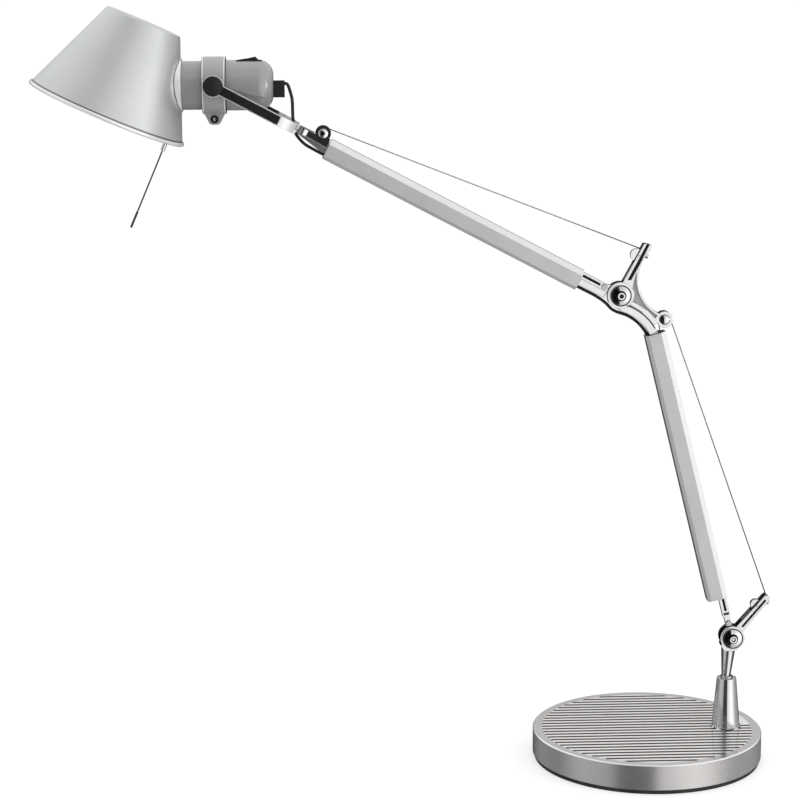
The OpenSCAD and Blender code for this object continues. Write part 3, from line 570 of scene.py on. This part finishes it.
def rope(name, start, wheel_arc, inside, stands_for):
    """A taut balance cable, from a lever over a wheel into a tube.

    Its free span is one straight piece.
    """
    line = [start, *wheel_arc, inside]
    ob = tube(name, [start, *even(line[1:], ROPE_STEP)], ROPE_DIAMETER, ROPE_SIDES, rope_steel,
              strands=6, pitch=0.0075)
    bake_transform(ob)
    weights = np.ones(len(ob.data.vertices), np.float32)
    weights[:ROPE_SIDES] = 0
    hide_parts(stands_for)


def lead(name, line, stands_for=None):
    """A black lead, or the part of one that crosses one joint."""
    ob = tube(name, line, LEAD_DIAMETER, LEAD_SIDES, lead_black)
    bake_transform(ob)
    if stands_for:
        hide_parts(stands_for)


def elbow(x, y, z):
    """A point given from the elbow's pivot."""
    return ELBOW_PIVOT + np.array([x, y, z])


def head(x, y, z):
    """A point given from the head's pivot."""
    return HEAD_PIVOT + np.array([x, y, z])


def front(x, y, z):
    """A point of the upper arm's frame, given from the tube's front end."""
    return upper(UPPER_TUBE_END + x, y, z)


def nearest(line, point):
    return int(np.linalg.norm(line - point, axis=1).argmin())


# The lower cable starts at the cam on the stem's lever
CAM_REACH, CAM_DROP = 0.0462, 0.0009  # along the lever from its pivot, and below it
lower_start = STEM_PIVOT + np.array([
    CAM_REACH * math.cos(LEVER_ANGLE) + CAM_DROP * math.sin(LEVER_ANGLE), 0,
    CAM_REACH * math.sin(LEVER_ANGLE) - CAM_DROP * math.cos(LEVER_ANGLE)])
rope("lower_wire_rope", lower_start,
     arc(*LOWER_WHEEL, WHEEL_RADIUS, 6.3, 180, 24, lower),
     lower(-0.0005, 0, LOWER_TUBE_END - 0.020), "lower_cable")
rope("upper_wire_rope", upper(-0.0019, 0, 0.0432),
     arc(*UPPER_WHEEL, WHEEL_RADIUS, 83.4, -90, 24, upper),
     front(-0.020, 0, -0.0004), "upper_cable")

# The black lead under the elbow, from inside the upper tube into the lower tube
in_upper = [upper(x, 0, -0.0103) for x in (0.060, 0.044, 0.030, 0.018)]
under_elbow = [elbow(-0.0126, 0, -0.0064), elbow(-0.0072, 0, -0.0119),
               *arc(-0.01045, -0.05225, 0.0384, 77, 31, 4, elbow)]
in_lower = [lower(-0.01095, 0, LOWER_TUBE_END - depth) for depth in (0.003, 0.026)]
lead("elbow_lead_sleeve", even(smooth([*in_upper, *under_elbow, *in_lower], 8), 0.0012),
     "elbow_lead")

# The lead from the head into the upper tube: one smooth line in three parts, each across one joint
past_fork = front(0.0334, 0.0057, 0.0002)
in_block = front(0.0188, 0.0015, -0.0098)
head_line = even(smooth([
    head(0.031, 0, 0.0012), head(0.050, 0, 0.0012), head(0.054, 0, 0.0012), head(0.0582, 0, 0.0012),
    head(0.0606, 0.0002, 0.0002), head(0.0624, 0.0009, -0.0044), head(0.0643, 0.0024, -0.013),
    front(0.0372, 0.0048, 0.0054), past_fork, front(0.0309, 0.0057, -0.0032),
    front(0.0276, 0.0046, -0.0066), in_block, front(0.0084, 0, -0.0104), front(-0.002, 0, -0.0104),
    front(-0.020, 0, -0.0104)], 8), 0.0006)
behind_head = nearest(head_line, head(0.0610, 0.0004, -0.0006))
at_fork = nearest(head_line, past_fork)
roll, tilt = head_line[:behind_head + 1], head_line[behind_head:at_fork + 1]
swivel = head_line[at_fork:]
lead("head_lead_roll", roll,
     "head_lead")
lead("head_lead_tilt", tilt)
lead("head_lead_swivel", swivel)


# ---------------------------------------------------------------- stage, light and camera
def floor():
    """A white floor that takes the lamp's soft shadow and does not show in the metal."""
    half, z = 30, -0.0002
    m = Mat("floor_white", Base__Color=(0.45, 0.45, 0.45, 1), Roughness=0.9,
            Specular__IOR__Level=0.0, Emission__Color=(1, 1, 1, 1), Emission__Strength=0.55)
    mesh = bpy.data.meshes.new("floor")
    mesh.from_pydata([(-half, -half, z), (half, -half, z), (half, half, z), (-half, half, z)], [],
                     [(0, 1, 2, 3)])
    mesh.materials.append(m.material)
    ob = bpy.data.objects.new("floor", mesh)
    bpy.context.scene.collection.objects.link(ob)
    ob.visible_glossy = False


# Brightness of the studio against the direction round the lamp, in degrees: 0 is towards the
# camera and + to its right
WALLS = [(-180, 0.06), (-165, 0.06), (-139, 0.30), (-105, 0.20), (-90, 0.45), (-77, 0.60),
         (-50, 0.52), (-42, 0.42), (-34, 0.07), (-20, 0.04), (-8, 0.07), (-1, 0.08), (6, 1.0),
         (14, 0.90), (24, 1.1), (40, 1.3), (55, 1.15), (70, 0.75), (83, 0.45), (119, 0.38),
         (150, 0.16), (180, 0.06)]
CEILING = [(-180, 0.92), (-137, 0.95), (-90, 0.80), (-64, 0.72), (-25, 0.55), (0, 0.55),
           (17, 0.68), (44, 0.90), (69, 0.90), (120, 0.90), (180, 0.92)]
GROUND = [(-180, 0.08), (-110, 0.15), (-70, 0.35), (-40, 0.12), (0, 0.12), (12, 0.5), (60, 0.55),
          (110, 0.2), (180, 0.08)]
# How high the walls reach before the ceiling begins
LIFT = [(-180, 0.05), (-55, 0.05), (-42, 0.40), (2, 0.40), (12, 0.10), (60, 0.05), (180, 0.05)]
LAMP_BRIGHTNESS = 5.0


def studio():
    """What polished metal reflects: bright to the right, dark behind the camera, a lit ceiling."""
    m = Mat("studio_light")
    m.tree.nodes.remove(m.shader)
    unit = m.node("ShaderNodeVectorMath", _operation="NORMALIZE")
    m.link(m.place, unit.inputs[0])
    x, y, z = m.split(unit.outputs[0])
    angle = m.math("ARCTAN2", x, m.times(y, -1.0))
    around = m.rise(angle, -math.pi, math.pi)

    def ring(stops):
        ramp = m.node("ShaderNodeValToRGB")
        m.link(around, ramp.inputs["Fac"])
        elements = ramp.color_ramp.elements
        while len(elements) < len(stops):
            elements.new(0.5)
        for element, (degrees, value) in zip(elements, stops):
            element.position = (degrees + 180) / 360
            element.color = (*grey(value), 1)
        return ramp.outputs["Color"]

    above_walls = m.math("DIVIDE", m.math("SUBTRACT", z, ring(LIFT)), 0.33)
    room = m.mix(m.rise(above_walls, 0, 1), ring(WALLS), ring(CEILING))
    # a tall lamp to the right, at the height of the head
    window = m.times(m.times(m.rise(angle, 0.98, 1.06), m.fall(angle, 1.24, 1.32)),
                     m.times(m.rise(z, -0.14, -0.08), m.fall(z, 0.08, 0.14)))
    room = m.mix(window, room, grey(LAMP_BRIGHTNESS))
    room = m.mix(m.fall(z, -0.9, -0.35), room, ring(GROUND))
    glow = m.node("ShaderNodeEmission", Strength=1.0)
    m.link(room, glow.inputs["Color"])
    m.link(glow.outputs[0], m.tree.nodes["Material Output"].inputs["Surface"])
    bpy.ops.mesh.primitive_uv_sphere_add(segments=48, ring_count=24, radius=15,
                                         location=(0, 0, 0.3))
    ob = bpy.context.object
    ob.name = "studio_shell"
    ob.data.materials.append(m.material)
    ob.visible_camera = ob.visible_diffuse = ob.visible_shadow = ob.visible_transmission = False
    ob.visible_volume_scatter = False


def area(name, location, target, size, power):
    """A rectangular light that shows neither to the camera nor in the metal."""
    light = bpy.data.lights.new(name, "AREA")
    light.shape = "RECTANGLE"
    light.size, light.size_y = size
    light.energy = power
    ob = bpy.data.objects.new(name, light)
    bpy.context.scene.collection.objects.link(ob)
    ob.location = location
    ob.rotation_mode = "QUATERNION"
    ob.rotation_quaternion = (Vector(target) - Vector(location)).to_track_quat("-Z", "Y")
    ob.visible_camera = ob.visible_glossy = False


def aim_camera(place, yaw, pitch, roll, lens):
    """The camera, turned from a level look along +Y by yaw, pitch and roll in degrees."""
    yaw, pitch, roll = (math.radians(a) for a in (yaw, pitch, roll))
    look = Vector((math.sin(yaw) * math.cos(pitch), math.cos(yaw) * math.cos(pitch),
                   math.sin(pitch)))
    level = Vector((math.cos(yaw), -math.sin(yaw), 0))
    upright = level.cross(look)
    side = level * math.cos(roll) + upright * math.sin(roll)
    top = upright * math.cos(roll) - level * math.sin(roll)
    data = bpy.data.cameras.new("camera")
    data.sensor_width = 36.0
    data.lens = lens
    data.clip_start, data.clip_end = 0.05, 100
    ob = bpy.data.objects.new("camera", data)
    bpy.context.scene.collection.objects.link(ob)
    ob.matrix_world = Matrix([(side[i], top[i], -look[i], place[i]) for i in range(3)]
                             + [(0, 0, 0, 1)])
    bpy.context.scene.camera = ob


floor()
studio()
world = bpy.data.worlds.new("studio")
bpy.context.scene.world = world
world.use_nodes = True
world.node_tree.nodes["Background"].inputs["Color"].default_value = (1, 1, 1, 1)
world.node_tree.nodes["Background"].inputs["Strength"].default_value = 1.04
area("key", (2.2, -1.2, 1.3), (-0.1, 0, 0.35), (1.0, 1.6), 16)
area("top", (-0.1, -0.2, 2.4), (-0.1, 0, 0.3), (1.8, 1.4), 6)
aim_camera((-0.2827, -1.8319, 0.6511), 2.1, -10.21, -0.34, 98.2)
bpy.context.scene.view_settings.view_transform = "Standard"
bpy.context.scene.view_settings.look = "None"
